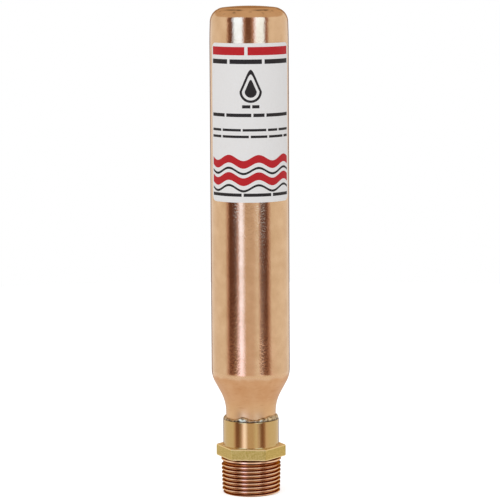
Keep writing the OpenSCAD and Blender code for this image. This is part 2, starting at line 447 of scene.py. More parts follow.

# The flanks that face up are marked for painted shade, because they mirror only the flank above them;
# the undercuts get a part of it
adapter_bm.verts.layers.float.new("upper_flank_shade")
upper_flank_shade = thread_bm.verts.layers.float.new("upper_flank_shade")
for vert in thread_bm.verts:
    r, turn = radius_and_angle(vert)
    z = vert.co.z
    above_root = (z - thread_start - turn / (2 * math.pi) * PITCH) % PITCH
    on_upper = z < UNDERCUTS[0][0] and PITCH - flank + MERGE < above_root < PITCH - MERGE
    in_undercut = any(low + MERGE < z < deepest + MERGE for low, deepest, top in UNDERCUTS)
    vert[upper_flank_shade] = 1 if on_upper else UNDERCUT_SHADE * in_undercut
    crest_r = CREST_TOP_R - (THREAD_L - z) * TAPER
    cut = min(1, max(0, (RUNOUT_END - z) / (RUNOUT_END - RUNOUT_START)))
    tapered_r = crest_r - (CREST_TOP_R - r) * cut
    for low, deepest, top in UNDERCUTS:
        share = min((z - low) / (deepest - low), (top - z) / (top - deepest))
        if share > 0:
            tapered_r = min(tapered_r, crest_r - TOOTH_DEPTH * share)
    set_radius(vert, min(tapered_r, TIP_R + z))
print(f"thread of {PITCH:.3f} mm pitch, {len(thread_bm.faces)} faces")

# %% Join the thread to the rest
ADAPTER_SHARP = 17

thread_mesh = bpy.data.meshes.new("thread")
thread_bm.to_mesh(thread_mesh)
thread_bm.free()
adapter_bm.from_mesh(thread_mesh)
bpy.data.meshes.remove(thread_mesh)
for level in (0, THREAD_L):
    rim_edges = [
        edge for edge in adapter_bm.edges
        if edge.is_boundary and all(abs(vert.co.z - level) < HEX_EDGE for vert in edge.verts)
    ]
    bmesh.ops.triangle_fill(adapter_bm, edges=rim_edges, use_beauty=True, normal=(0, 0, -1))
bmesh.ops.recalc_face_normals(adapter_bm, faces=adapter_bm.faces[:])
bmesh.ops.rotate(adapter_bm, cent=(0, 0, 0), matrix=Matrix.Rotation(hex_turn, 3, "Z"),
                 verts=adapter_bm.verts[:])
brass_adapter = finish_piece(adapter_bm, "brass_adapter", "shell", ["pipe_adapter"], ADAPTER_SHARP)

# %% [markdown]
# ## The solder
# Molten solder runs down between the neck and the cup, and what is left over stands on the rim as an
# uneven bead. A torus would look like a washer, so the bead is a turned section whose height
# changes round the rim: a list of lumps, each with its place, width and height, and noise on top.

# %% Run the solder
BEAD_STEPS = 12
BEAD_TURN_STEPS = 288
BEAD_RISE = 1.2
BEAD_FOOT = 0.12
BEAD_LOW = 0.75
LUMP_MM = 1.6
LUMP_ROUGH = 0.2
SOLDER_SHARP = 50
# Each lump: degrees from the front towards the right, half width in degrees, rise in millimetres
LUMPS = [(-18, 13, 1.6), (4, 9, 0.35), (24, 9, 0.8), (47, 16, 1.5), (75, 18, 1.2), (105, 22, 0.8),
         (150, 30, 0.7), (-95, 35, 0.35), (-160, 25, 0.8)]

bead_foot_r = CUP_OUT_R - BEAD_FOOT
solder_bm = draw_section(
    (NECK_R, TUBE_STOP),
    (CUP_IN_R, TUBE_STOP),
    (CUP_IN_R, CUP_RIM),
    (bead_foot_r, CUP_RIM),
    (NECK_R, CUP_RIM + BEAD_RISE),
)
bead_edges = [edge for edge in solder_bm.edges if max(vert.co.z for vert in edge.verts) > CUP_RIM + MERGE]
bmesh.ops.subdivide_edges(solder_bm, edges=bead_edges, cuts=BEAD_STEPS)
bottom_inner = min(solder_bm.verts, key=lambda vert: (vert.co.x, vert.co.z))
bead_head = max(solder_bm.verts, key=lambda vert: vert.co.z)
bmesh.ops.contextual_create(solder_bm, geom=[bottom_inner, bead_head])
turn_section(solder_bm, BEAD_TURN_STEPS)

for vert in solder_bm.verts:
    if vert.co.z < CUP_RIM + MERGE:
        continue
    r, turn = radius_and_angle(vert)
    height = BEAD_LOW
    for place, half, rise in LUMPS:
        height += rise * math.exp(-(from_front(turn, place) / half) ** 2)
    share = (vert.co.z - CUP_RIM) / BEAD_RISE
    quarter = math.pi / 2 * share
    rough = LUMP_ROUGH * math.sin(math.pi * share) * noise.noise(vert.co / LUMP_MM)
    vert.co.z = CUP_RIM + height * math.sin(quarter) + rough
    if r > NECK_R + MERGE:
        round_r = NECK_R + (bead_foot_r - NECK_R) * math.cos(quarter)
        set_radius(vert, min(CUP_OUT_R, round_r + rough))
bmesh.ops.recalc_face_normals(solder_bm, faces=solder_bm.faces[:])
solder_bead = finish_piece(solder_bm, "solder_bead", "shell", ["solder_joint"], SOLDER_SHARP)

# %% [markdown]
# ## The label
# A paper label with round corners is stuck on the front of the barrel. A flat label can be bent with
# a Simple Deform modifier, but its radius is then hard to tie to the barrel's, so the bend is in the
# mesh: one flat face gets its corners rounded, is cut into narrow columns, gets its thickness, and is
# then wrapped round the axis. The print is made by the same steps, a little further out.

# %% Define the wrapping
COLUMN_MM = 0.8
LABEL_W = 42.4
LABEL_H = label_high.z - label_low.z
LABEL_FRONT = math.radians(-88)
LABEL_GLUE = 0.02
LABEL_T = 0.12
LABEL_R = BARREL_R + LABEL_GLUE


def flat_field(bm, left, bottom, width, height):
    """Add one flat rectangle to a sheet: x runs round the barrel, z up it."""
    right = left + width
    top = bottom + height
    corners = [(left, bottom), (right, bottom), (right, top), (left, top)]
    verts = [bm.verts.new((x, 0, z)) for x, z in corners]
    return bm.faces.new(verts)


def wrap_sheet(bm, inside_r, thickness):
    """Cut a flat sheet into columns, thicken it, and wrap it round the barrel's front."""
    columns = math.ceil(LABEL_W / COLUMN_MM)
    for column in range(1, columns):
        place = LABEL_W * (column / columns - 0.5)
        bmesh.ops.bisect_plane(bm, geom=bm.verts[:] + bm.edges[:] + bm.faces[:], dist=MERGE,
                               plane_co=(place, 0, 0), plane_no=(1, 0, 0))
    for face in bm.faces:
        if face.normal.y > 0:
            face.normal_flip()
    bm.normal_update()
    shell = bmesh.ops.extrude_face_region(bm, geom=bm.faces[:])
    lifted = [part for part in shell["geom"] if isinstance(part, bmesh.types.BMVert)]
    bmesh.ops.translate(bm, vec=(0, -thickness, 0), verts=lifted)
    bmesh.ops.recalc_face_normals(bm, faces=bm.faces[:])
    for vert in bm.verts:
        turn = LABEL_FRONT + vert.co.x / LABEL_R
        out = inside_r - vert.co.y
        vert.co = (out * math.cos(turn), out * math.sin(turn), vert.co.z)


print(f"label {LABEL_W:.1f} mm wide and {LABEL_H:.1f} mm high")

# %% Cut and wrap the label
LABEL_CORNER = 3
LABEL_CORNER_STEPS = 10

label_bm = bmesh.new()
label_face = flat_field(label_bm, -LABEL_W / 2, label_low.z, LABEL_W, LABEL_H)
bmesh.ops.bevel(label_bm, geom=label_face.verts[:], offset=LABEL_CORNER, affect="VERTICES",
                segments=LABEL_CORNER_STEPS, profile=0.5, material=-1)
wrap_sheet(label_bm, LABEL_R, LABEL_T)
paper_label = finish_piece(label_bm, "paper_label", "shell", ["label"])

# %% [markdown]
# ## The print
# The print is plain: rows of bars, a drop that says the part is for water, and waves at the foot.
# Each row is given from the label's top edge down, as the lengths of its bars.

# %% Lay out the bars
MARGIN = 1.0
label_left = -LABEL_W / 2 + MARGIN
red_bm = bmesh.new()
black_bm = bmesh.new()
# Each row: ink, left end, distance below the label's top edge, height, gap, and the bars' lengths
BAR_ROWS = [
    (red_bm, label_left, 1.6, 3.6, 1.4, 17.5, 21.5),
    (black_bm, label_left, 7.0, 2.0, 1.2, 9.5, 14.5, 14.0),
    (black_bm, -3.8, 26.9, 1.4, 0.8, 3.6, 3.2),
    (black_bm, label_left, 30.6, 1.5, 0.9, 8.0, 11.5, 5.0, 13.2),
    (black_bm, label_left, 37.3, 1.1, 0.8, 6.0, 9.0, 10.5, 5.0, 6.7),
    (black_bm, label_left, 40.2, 1.1, 0.8, 6.0, 12.5, 7.5, 8.0, 3.2),
    (black_bm, label_left, 65.6, 1.4, 0.9, 16.0, 12.5, 10.1),
]

for ink_bm, left, below, height, gap, *lengths in BAR_ROWS:
    for length in lengths:
        flat_field(ink_bm, left, label_high.z - below - height, length, height)
        left += length + gap
print("bars:", len(red_bm.faces), "red and", len(black_bm.faces), "black")

# %% Draw the drop
DROP_R = 4.9
DROP_STEPS = 64
DROP_STRETCH = 0.95
DROP_WAIST = 0.45
# The outside and the inside of the drop's outline, and its core
DROP_SIZES = (1.0, 0.78, 0.54)
DROP_PLACE = 21.0
drop_mid = label_high.z - DROP_PLACE

outlines = []
for size in DROP_SIZES:
    drop_r = DROP_R * size
    drop = bmesh.ops.create_circle(black_bm, radius=drop_r, segments=DROP_STEPS,
                                   matrix=Matrix.Rotation(math.radians(90), 4, "X"))["verts"]
    for vert in drop:
        up = max(0, vert.co.z / drop_r)
        vert.co.x *= 1 - DROP_WAIST * up
        vert.co.z += drop_r * DROP_STRETCH * up * up
    bmesh.ops.translate(black_bm, vec=(0, 0, drop_mid), verts=drop)
    outlines.append([edge for edge in black_bm.edges if all(vert in drop for vert in edge.verts)])
bmesh.ops.bridge_loops(black_bm, edges=outlines[0] + outlines[1])
bmesh.ops.contextual_create(black_bm, geom=outlines[2])
print(f"drop {2 * DROP_R:.0f} mm wide")

# %% Draw the waves
WAVE_MM = 13.4
WAVE_LIFT = 1.3
WAVE_CUTS = 60
# Each wave: ink, distance below the label's top edge, height
WAVE_ROWS = [(red_bm, 50.0, 3.4), (red_bm, 57.6, 3.4), (black_bm, 55.2, 1.0), (black_bm, 62.8, 1.0)]
# Heights this close are the same level
SAME_LEVEL = 0.005

wave_w = LABEL_W - 2 * MARGIN
for ink_bm, below, height in WAVE_ROWS:
    wave_z = label_high.z - below - height / 2
    flat_field(ink_bm, label_left, label_high.z - below - height, wave_w, height)
    for cut in range(1, WAVE_CUTS):
        place = wave_w * (cut / WAVE_CUTS - 0.5)
        band_faces = [face for face in ink_bm.faces if abs(face.calc_center_median().z - wave_z) < SAME_LEVEL]
        band_parts = dict.fromkeys(part for face in band_faces for part in (face, *face.edges, *face.verts))
        bmesh.ops.bisect_plane(ink_bm, geom=list(band_parts), dist=MERGE, plane_co=(place, 0, 0),
                               plane_no=(1, 0, 0))
    for vert in ink_bm.verts:
        if abs(abs(vert.co.z - wave_z) - height / 2) < SAME_LEVEL:
            vert.co.z += WAVE_LIFT * math.sin(2 * math.pi * vert.co.x / WAVE_MM)
print(len(WAVE_ROWS), "waves of", WAVE_MM, "mm")

# %% Wrap the print
PRINT_SINK = 0.05
PRINT_PROUD = 0.012

print_r = LABEL_R + LABEL_T - PRINT_SINK
for ink_bm in (red_bm, black_bm):
    wrap_sheet(ink_bm, print_r, PRINT_SINK + PRINT_PROUD)
print_red = finish_piece(red_bm, "print_red", "shell")
print_black = finish_piece(black_bm, "print_black", "shell")

# %% [markdown]
# ## Colours and nodes
# Colours are written as the hex values that a colour picker shows. Blender's sockets take linear
# light, so one function converts them. Another small function adds a node, with its settings and
# links in one place, and gives back its output, so that a material reads from top to bottom.

# %% Define colours and nodes
def linear(hex_code):
    """The linear colour of an sRGB hex value."""
    shares = [int(hex_code[start:start + 2], 16) / 255 for start in (1, 3, 5)]
    light = [share / 12.92 if share <= 0.04045 else ((share + 0.055) / 1.055) ** 2.4 for share in shares]
    return (*light, 1.0)


def feed(tree, node, inputs):
    """Give a node its inputs, each as a value or as a link from another node."""
    for name, value in inputs.items():
        if isinstance(value, bpy.types.NodeSocket):
            tree.links.new(value, node.inputs[name])
        else:
            node.inputs[name].default_value = value


def add_node(tree, kind, inputs=None, out=None, stops=(), **settings):
    """Add a node with its settings, inputs and ramp stops, and give its named or first live output."""
    made = tree.nodes.new(kind)
    for name, value in settings.items():
        setattr(made, name, value)
    feed(tree, made, inputs or {})
    if stops:
        made.color_ramp.elements[0].color = stops[0][1]
        made.color_ramp.elements[-1].color = stops[-1][1]
    for place, colour in stops[1:-1]:
        made.color_ramp.elements.new(place).color = colour
    if out:
        return made.outputs[out]
    return next((socket for socket in made.outputs if socket.enabled), None)


def start_material(name):
    """A material with its default node tree, its surface shader and its Object coordinates."""
    material = bpy.data.materials.new(name)
    material.use_nodes = True
    tree = material.node_tree
    surface = tree.nodes["Principled BSDF"]
    place = add_node(tree, "ShaderNodeTexCoord", out="Object")
    return material, tree, surface, place


def per_metre(size_mm):
    """The scale of a texture whose features are this many millimetres wide."""
    return 1 / (size_mm * MM)


# A Mix node has sockets of the same name for each kind of data, so its colours go by number
FACTOR = 0
COLOUR_A = 6
COLOUR_B = 7

print("copper is", [round(value, 3) for value in linear("#d3b088")[:3]], "in linear light")

# %% [markdown]
# ## Polished copper
# Copper tube, drawn and then buffed. Copper is a metal, so its colour is the colour of its
# reflections, and what the eye reads as polish is a low roughness with a very fine orange peel.
# Below the barrel the die and the torch took the polish off: the bell is satin and a little redder,
# and the die has scored it with fine rings. A mask on the height makes that change, because the bell is
# the only copper there. The mask wanders with the mottling, as a tide line does.
# Seen at a flat angle, any metal pales towards white. The crown is always seen so, and a tint on that
# edge light keeps it coppery.

# %% Find the copper's zones
MOTTLE_MM = 6
SCORE_MM = 0.6
SCORE_STRETCH = 0.15
SCORE_SHARE = 0.6
TIDE_WANDER_MM = 3.0
# Parts of the noise's range that become the whole of a mask
MOTTLE_SPAN = (0.3, 0.7)
SCORE_SPAN = (0.58, 0.8)
# How far below the barrel the satin begins and is full, and how far above the neck the copper
# gets a painted highlight near the solder
SATIN_BEGINS = 0.2
SATIN_FULL = 3.4
NECK_HIGHLIGHT_REACH = 9
bell_zone = (BELL_TOP - SATIN_BEGINS, BELL_TOP - SATIN_FULL)
neck_highlight_zone = (neck_top + NECK_HIGHLIGHT_REACH, neck_top)

copper, tree, surface, place = start_material("polished_copper")
height = add_node(tree, "ShaderNodeSeparateXYZ", {"Vector": place}, out="Z")
mottle = add_node(tree, "ShaderNodeTexNoise", {"Vector": place, "Scale": per_metre(MOTTLE_MM), "Detail": 3.0})
wander = add_node(tree, "ShaderNodeMath", {
    0: mottle, 1: TIDE_WANDER_MM * MM, 2: -TIDE_WANDER_MM / 2 * MM,
}, operation="MULTIPLY_ADD")
tide = add_node(tree, "ShaderNodeMath", {0: height, 1: wander}, operation="ADD")
satin = add_node(tree, "ShaderNodeMapRange", {
    "Value": tide, "From Min": bell_zone[0] * MM, "From Max": bell_zone[1] * MM,
}, interpolation_type="SMOOTHSTEP")
tone = add_node(tree, "ShaderNodeMapRange", {
    "Value": mottle, "From Min": MOTTLE_SPAN[0], "From Max": MOTTLE_SPAN[1],
})
squeezed = add_node(tree, "ShaderNodeMapping", {
    "Vector": place, "Scale": (SCORE_STRETCH, SCORE_STRETCH, 1.0),
})
score = add_node(tree, "ShaderNodeTexNoise", {
    "Vector": squeezed, "Scale": per_metre(SCORE_MM), "Detail": 3.0,
})
scored = add_node(tree, "ShaderNodeMapRange", {
    "Value": score, "From Min": SCORE_SPAN[0], "From Max": SCORE_SPAN[1], "To Max": SCORE_SHARE,
})
# Painted highlight: the copper is painted lighter towards the neck, near the solder
neck_highlight = add_node(tree, "ShaderNodeMapRange", {
    "Value": height, "From Min": neck_highlight_zone[0] * MM, "From Max": neck_highlight_zone[1] * MM,
}, interpolation_type="SMOOTHSTEP")
not_satin = add_node(tree, "ShaderNodeMath", {0: 1.0, 1: satin}, operation="SUBTRACT")
tide_line = add_node(tree, "ShaderNodeMath", {0: satin, 1: not_satin}, operation="MULTIPLY")
bell_score = add_node(tree, "ShaderNodeMath", {0: scored, 1: satin}, operation="MULTIPLY")
# Painted shade in the crown's creases, with the grime beside them
crease = add_node(tree, "ShaderNodeAttribute", out="Fac", attribute_name="grime_and_crease_shade")
on_crown = add_node(tree, "ShaderNodeMapRange", {
    "Value": height, "From Min": SHOULDER_Z * MM, "From Max": TOP * MM,
})
print("copper turns satin from", [round(level, 1) for level in bell_zone], "mm")

# %% Colour and polish the copper
POLISHED = 0.09
SATIN = 0.38
ROUGHNESS_SPECKLE = 0.04
PEEL_MM = 0.9
PEEL_DEPTH_MM = 0.026

barrel_colour = add_node(tree, "ShaderNodeMix", {
    FACTOR: tone, COLOUR_A: linear("#cda880"), COLOUR_B: linear("#d9b68f"),
}, data_type="RGBA")
clean_bell = add_node(tree, "ShaderNodeMix", {
    FACTOR: tone, COLOUR_A: linear("#d19f72"), COLOUR_B: linear("#dcb086"),
}, data_type="RGBA")
coloured = barrel_colour
for share, colour in (
    (satin, clean_bell),
    # Painted highlight near the solder
    (neck_highlight, linear("#dcb486")),
    (bell_score, linear("#bf8658")),
    (tide_line, linear("#f6dcbc")),
    # Painted shade in the creases, near black
    (crease, linear("#2c170a")),
):
    coloured = add_node(tree, "ShaderNodeMix", {
        FACTOR: share, COLOUR_A: coloured, COLOUR_B: colour,
    }, data_type="RGBA")
edge_tint = add_node(tree, "ShaderNodeMix", {
    FACTOR: on_crown, COLOUR_A: linear("#ffffff"), COLOUR_B: linear("#f2d8b8"),
}, data_type="RGBA")
polish = add_node(tree, "ShaderNodeMapRange", {"Value": satin, "To Min": POLISHED, "To Max": SATIN})
peel = add_node(tree, "ShaderNodeTexNoise", {"Vector": place, "Scale": per_metre(PEEL_MM), "Detail": 2.0})
roughness = add_node(tree, "ShaderNodeMath", {
    0: peel, 1: ROUGHNESS_SPECKLE, 2: polish,
}, operation="MULTIPLY_ADD")
bump = add_node(tree, "ShaderNodeBump", {"Height": peel, "Strength": 1.0, "Distance": PEEL_DEPTH_MM * MM})
feed(tree, surface, {
    "Metallic": 1.0, "Base Color": coloured, "Specular Tint": edge_tint, "Roughness": roughness,
    "Normal": bump,
})
copper_tube.data.materials.append(copper)
print("copper of", len(tree.nodes), "nodes")

# %% [markdown]
# ## Turned brass
# Free-cutting brass bar. The cup and the thread were cut on a lathe, so they are bright and carry
# fine rings. The hexagon's flats are the bar's own drawn skin, dull and a little greener. In
# the thread the light bounces from flank to flank, and each bounce takes on more of the metal's colour.
# That light and shade is painted into the thread's colour: a painted highlight on the crests, painted
# shade down the flanks, darker on the flanks that face up and in the undercuts. The hexagon's ends
# get a painted highlight too.
# One material holds all three, by height, because they are one piece of metal.

# %% Find the brass's zones
EDGE_HIGHLIGHT_SHARE = 0.9
# How far from the hexagon's ends the painted highlight on its edges begins and is full
EDGE_HIGHLIGHT_BEGINS = 0.6
EDGE_HIGHLIGHT_FULL = 0.25
edge_highlight_zone = (HEX_TOP - hex_mid - EDGE_HIGHLIGHT_BEGINS, HEX_TOP - hex_mid - EDGE_HIGHLIGHT_FULL)
# Faces this close to an end plane belong to the end
END_FACE = 0.02
BORE_LIMIT_R = (WATERWAY_R + MOUTH_CHAMFER + TIP_R) / 2

brass, tree, surface, place = start_material("turned_brass")
height = add_node(tree, "ShaderNodeSeparateXYZ", {"Vector": place}, out="Z")
across = add_node(tree, "ShaderNodeVectorMath", {0: place, 1: (1.0, 1.0, 0.0)}, operation="MULTIPLY")
from_axis = add_node(tree, "ShaderNodeVectorMath", {0: across}, operation="LENGTH")
crest_cone = add_node(tree, "ShaderNodeMath", {
    0: height, 1: TAPER, 2: (CREST_TOP_R - THREAD_L * TAPER) * MM,
}, operation="MULTIPLY_ADD")
below_crest = add_node(tree, "ShaderNodeMath", {0: crest_cone, 1: from_axis}, operation="SUBTRACT")
in_groove = add_node(tree, "ShaderNodeMapRange", {"Value": below_crest, "From Max": TOOTH_DEPTH * MM})
on_hexagon = add_node(tree, "ShaderNodeMath", {
    0: height, 1: hex_mid * MM, 2: ((HEX_TOP - THREAD_L) / 2 + END_FACE) * MM,
}, operation="COMPARE")
beside_thread = add_node(tree, "ShaderNodeMath", {
    0: height, 1: THREAD_L / 2 * MM, 2: (THREAD_L / 2 - END_FACE) * MM,
}, operation="COMPARE")
outside_bore = add_node(tree, "ShaderNodeMath", {
    0: from_axis, 1: BORE_LIMIT_R * MM,
}, operation="GREATER_THAN")
on_thread = add_node(tree, "ShaderNodeMath", {0: beside_thread, 1: outside_bore}, operation="MULTIPLY")
# Painted shade on the flanks that face up and in the undercuts
flank_shade = add_node(tree, "ShaderNodeAttribute", out="Fac", attribute_name="upper_flank_shade")
above_middle = add_node(tree, "ShaderNodeMath", {0: height, 1: hex_mid * MM}, operation="SUBTRACT")
from_middle = add_node(tree, "ShaderNodeMath", {0: above_middle}, operation="ABSOLUTE")
# Painted highlight: the hexagon's ends are painted lighter, where its edges catch the light
edge_highlight = add_node(tree, "ShaderNodeMapRange", {
    "Value": from_middle, "From Min": edge_highlight_zone[0] * MM, "From Max": edge_highlight_zone[1] * MM, "To Max": EDGE_HIGHLIGHT_SHARE,
})
print(f"brass: thread up to {THREAD_L:.1f} mm, hexagon up to {HEX_TOP:.1f} mm, cup above it")

# %% Colour and polish the brass
TURNED = 0.1
BAR_SKIN = 0.46
RING_MM = 0.35
RING_DEPTH_MM = 0.0008
GRAIN_MM = 0.6
GRAIN_DEPTH_MM = 0.006
SKIN_SPAN = (0.35, 0.65)
# Painted light and shade from a crest down to a root, as shares of the thread's depth: a painted
# highlight on the crest, painted shade down the flanks, lighter again at the root
GROOVE_SHADING_STOPS = [
    (0, linear("#ecc8a6")), (0.04, linear("#ecc8a6")), (0.15, linear("#864e28")), (0.75, linear("#a06440")),
    (1, linear("#c48a58")),
]

grain = add_node(tree, "ShaderNodeTexNoise", {"Vector": place, "Scale": per_metre(GRAIN_MM), "Detail": 3.0})
tool_marks = add_node(tree, "ShaderNodeTexNoise", {
    "W": height, "Scale": per_metre(RING_MM), "Detail": 2.0,
}, noise_dimensions="1D")
cup_colour = add_node(tree, "ShaderNodeMix", {
    FACTOR: grain, COLOUR_A: linear("#bc9b62"), COLOUR_B: linear("#c8ab74"),
}, data_type="RGBA")
skin_tone = add_node(tree, "ShaderNodeMapRange", {
    "Value": grain, "From Min": SKIN_SPAN[0], "From Max": SKIN_SPAN[1],
})
skin_colour = add_node(tree, "ShaderNodeMix", {
    FACTOR: skin_tone, COLOUR_A: linear("#b89d50"), COLOUR_B: linear("#d2b870"),
}, data_type="RGBA")
# The hexagon's skin with the painted highlight along its edges
hex_colour = add_node(tree, "ShaderNodeMix", {
    FACTOR: edge_highlight, COLOUR_A: skin_colour, COLOUR_B: linear("#f0d498"),
}, data_type="RGBA")
# Painted highlight on the crests and painted shade down the flanks
groove_shading = add_node(tree, "ShaderNodeValToRGB", {"Fac": in_groove}, stops=GROOVE_SHADING_STOPS)
# The painted shade, darker on the flanks that face up
thread_colour = add_node(tree, "ShaderNodeMix", {
    FACTOR: flank_shade, COLOUR_A: groove_shading, COLOUR_B: linear("#94500e"),
}, data_type="RGBA")
brass_colour = cup_colour
for share, colour in ((on_thread, thread_colour), (on_hexagon, hex_colour)):
    brass_colour = add_node(tree, "ShaderNodeMix", {
        FACTOR: share, COLOUR_A: brass_colour, COLOUR_B: colour,
    }, data_type="RGBA")
edge_tint = add_node(tree, "ShaderNodeMix", {
    FACTOR: on_thread, COLOUR_A: linear("#ffffff"), COLOUR_B: linear("#e8c8a4"),
}, data_type="RGBA")
finish = add_node(tree, "ShaderNodeMapRange", {"Value": on_hexagon, "To Min": TURNED, "To Max": BAR_SKIN})
roughness = add_node(tree, "ShaderNodeMath", {
    0: grain, 1: ROUGHNESS_SPECKLE, 2: finish,
}, operation="MULTIPLY_ADD")
ring_bump = add_node(tree, "ShaderNodeBump", {
    "Height": tool_marks, "Strength": 1.0, "Distance": RING_DEPTH_MM * MM,
})
grain_bump = add_node(tree, "ShaderNodeBump", {
    "Height": grain, "Strength": on_hexagon, "Distance": GRAIN_DEPTH_MM * MM, "Normal": ring_bump,
})
feed(tree, surface, {
    "Metallic": 1.0, "Base Color": brass_colour, "Specular Tint": edge_tint, "Roughness": roughness,
    "Normal": grain_bump,
})
brass_adapter.data.materials.append(brass)
print("brass of", len(tree.nodes), "nodes")

# %% [markdown]
# ## Solder
# Tin solder freezes bright and lumpy. The bead is painted darker brown along its outer edge, where it
# meets the rim. The line is a mask on the distance from the axis, worked out from the vector's
# length with its height taken away.

# %% Make the solder
FROZEN_MM = 1.2
FROZEN_DEPTH_MM = 0.03
FROZEN_SPAN = (0.35, 0.6)
FROZEN_SMOOTH = 0.26
FROZEN_DULL = 0.42
DARK_EDGE_WIDTH = 0.26
DARK_EDGE_FULL = 0.078

solder, tree, surface, place = start_material("tin_solder")
across = add_node(tree, "ShaderNodeVectorMath", {0: place, 1: (1.0, 1.0, 0.0)}, operation="MULTIPLY")
from_axis = add_node(tree, "ShaderNodeVectorMath", {0: across}, operation="LENGTH")
# The bead is painted darker brown towards its outer edge
darkening = add_node(tree, "ShaderNodeMapRange", {
    "Value": from_axis,
    "From Min": (CUP_OUT_R - DARK_EDGE_WIDTH) * MM, "From Max": (CUP_OUT_R - DARK_EDGE_FULL) * MM,
}, interpolation_type="SMOOTHSTEP")
frozen = add_node(tree, "ShaderNodeTexNoise", {"Vector": place, "Scale": per_metre(FROZEN_MM), "Detail": 3.0})
frozen_tone = add_node(tree, "ShaderNodeMapRange", {
    "Value": frozen, "From Min": FROZEN_SPAN[0], "From Max": FROZEN_SPAN[1],
})
tin_colour = add_node(tree, "ShaderNodeMix", {
    FACTOR: frozen_tone, COLOUR_A: linear("#80684a"), COLOUR_B: linear("#dcc59c"),
}, data_type="RGBA")
solder_colour = add_node(tree, "ShaderNodeMix", {
    FACTOR: darkening, COLOUR_A: tin_colour, COLOUR_B: linear("#3a2718"),
}, data_type="RGBA")
roughness = add_node(tree, "ShaderNodeMapRange", {
    "Value": frozen, "To Min": FROZEN_SMOOTH, "To Max": FROZEN_DULL,
})
bump = add_node(tree, "ShaderNodeBump", {"Height": frozen, "Strength": 1.0, "Distance": FROZEN_DEPTH_MM * MM})
feed(tree, surface, {"Metallic": 1.0, "Base Color": solder_colour, "Roughness": roughness, "Normal": bump})
solder_bead.data.materials.append(solder)
print("solder with a brown line of flux")

# %% [markdown]
# ## Paper and ink
# Coated paper is white with a trace of grey, and its fibres make it very slightly uneven. Ink lies on
# it as a thin, denser film. The three differ only in their colours, so a loop makes them, with
# a function that the plastic and the rubber inside need too.

# %% Make the paper and the inks
FIBRE_MM = 0.6
FIBRE_DEPTH_MM = 0.002
FIBRE_DETAIL = 4.0
PAPER_ROUGHNESS = 0.6
PAPER_SHINE = 0.2
PRINTED = [
    (paper_label, "coated_paper", "#e1dfde", "#e9e7e6"),
    (print_red, "red_ink", "#b01820", "#c0242a"),
    (print_black, "black_ink", "#1f1b1a", "#2d2827"),
]


def two_tone_material(name, darker, lighter, feature_mm, depth_mm, detail, finish):
    """A material between two close colours, with a fine relief of the same pattern, and its finish."""
    material, tree, surface, place = start_material(name)
    relief = add_node(tree, "ShaderNodeTexNoise", {
        "Vector": place, "Scale": per_metre(feature_mm), "Detail": detail,
    })
    colour = add_node(tree, "ShaderNodeMix", {
        FACTOR: relief, COLOUR_A: linear(darker), COLOUR_B: linear(lighter),
    }, data_type="RGBA")
    bump = add_node(tree, "ShaderNodeBump", {"Height": relief, "Strength": 1.0, "Distance": depth_mm * MM})
    feed(tree, surface, {"Base Color": colour, "Normal": bump, **finish})
    return material


paper_finish = {"Roughness": PAPER_ROUGHNESS, "Specular IOR Level": PAPER_SHINE}
for piece, name, darker, lighter in PRINTED:
    piece.data.materials.append(
        two_tone_material(name, darker, lighter, FIBRE_MM, FIBRE_DEPTH_MM, FIBRE_DETAIL, paper_finish))
print("paper and inks:", ", ".join(name for piece, name, darker, lighter in PRINTED))

# %% [markdown]
# ## The piston and its seals
# They sit inside and show only through the waterway. Their solids already have the right shape, so
# they keep it and get new materials: polypropylene, moulded and slightly waxy, and nitrile rubber,
# black under a film of grease.

# %% Make the plastic and the rubber
FLOW_MM = 4
RUBBER_MM = 0.4
MOULD_DEPTH_MM = 0.004
MOULD_DETAIL = 3.0
# Each material: its nodes, name, darker and lighter colour, roughness, feature size and film of grease
INSIDE = [
    (["piston"], "moulded_polypropylene", "#dcd6c6", "#e6e1d4", 0.34, FLOW_MM, 0.0),
    (["lower_seal", "upper_seal"], "nitrile_rubber", "#161616", "#232323", 0.5, RUBBER_MM, 0.35),
]

for nodes, name, darker, lighter, dullness, feature_mm, grease in INSIDE:
    finish = {"Roughness": dullness, "Coat Weight": grease}
    material = two_tone_material(name, darker, lighter, feature_mm, MOULD_DEPTH_MM, MOULD_DETAIL, finish)
    for node in nodes:
        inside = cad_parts[node]
        inside.data.materials.clear()
        inside.data.materials.append(material)
    print(f"{name} on", ", ".join(nodes))

# %% [markdown]
# ## The floor
# A pale disc carries the part and takes its shadow. To the camera it is lifted to the white of the
# backdrop, by a little light of its own that only camera rays see, so its edge doesn't show.
# From below it is clear, so that the threaded end can be looked at. The metal doesn't
# reflect it: what the tube mirrors is the studio that the world draws next.

# %% Lay the floor
FLOOR_R = 700
FLOOR_STEPS = 96
FLOOR_LIFT = 0.45

floor_bm = bmesh.new()
bmesh.ops.create_circle(floor_bm, cap_ends=True, radius=FLOOR_R * MM, segments=FLOOR_STEPS)
floor_mesh = bpy.data.meshes.new("floor")
floor_bm.to_mesh(floor_mesh)
floor_bm.free()
floor = bpy.data.objects.new("floor", floor_mesh)
scene.collection.objects.link(floor)
floor.visible_glossy = False

